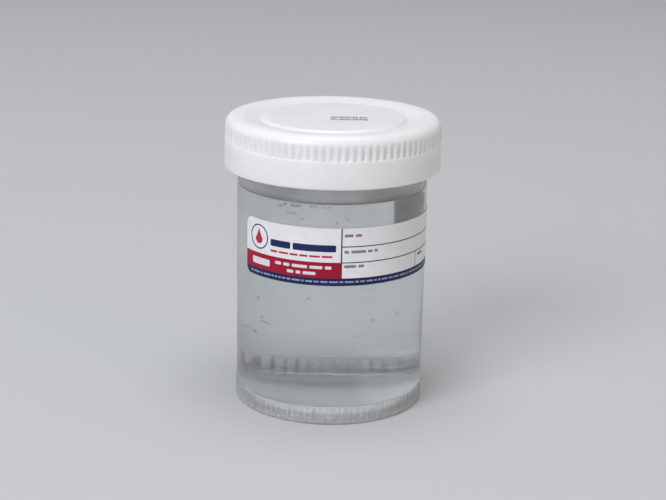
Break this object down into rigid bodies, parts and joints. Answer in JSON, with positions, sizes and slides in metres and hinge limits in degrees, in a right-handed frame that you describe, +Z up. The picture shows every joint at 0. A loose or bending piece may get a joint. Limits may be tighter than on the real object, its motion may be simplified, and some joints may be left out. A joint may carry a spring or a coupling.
{
  "type": "specimen container",
  "caption": "Straight-walled clear specimen jar with a ribbed screw cap, a wrap-round label and clear liquid inside.",
  "frame": {"origin": "middle of the foot, on the surface that the container stands on", "axes": "+Z up along the jar's axis, -Y towards the front, where the left part of the label shows"},
  "size_m": [0.054, 0.054, 0.073],
  "materials": {
    "clear_polypropylene": "smooth moulded, slightly hazy",
    "white_polypropylene": "smooth moulded, satin",
    "label_film": "printed, satin",
    "clear_liquid": "clear liquid"
  },
  "bodies": {
    "container": {"jar": "clear_polypropylene", "label": "label_film", "liquid_fill": "clear_liquid"},
    "closure": {"cap": "white_polypropylene"}
  },
  "joints": [
    {"name": "cap_lift", "type": "slide", "parent": "container", "child": "closure", "axis": [0, 0, 1], "range_m": [0, 0.03]}
  ]
}
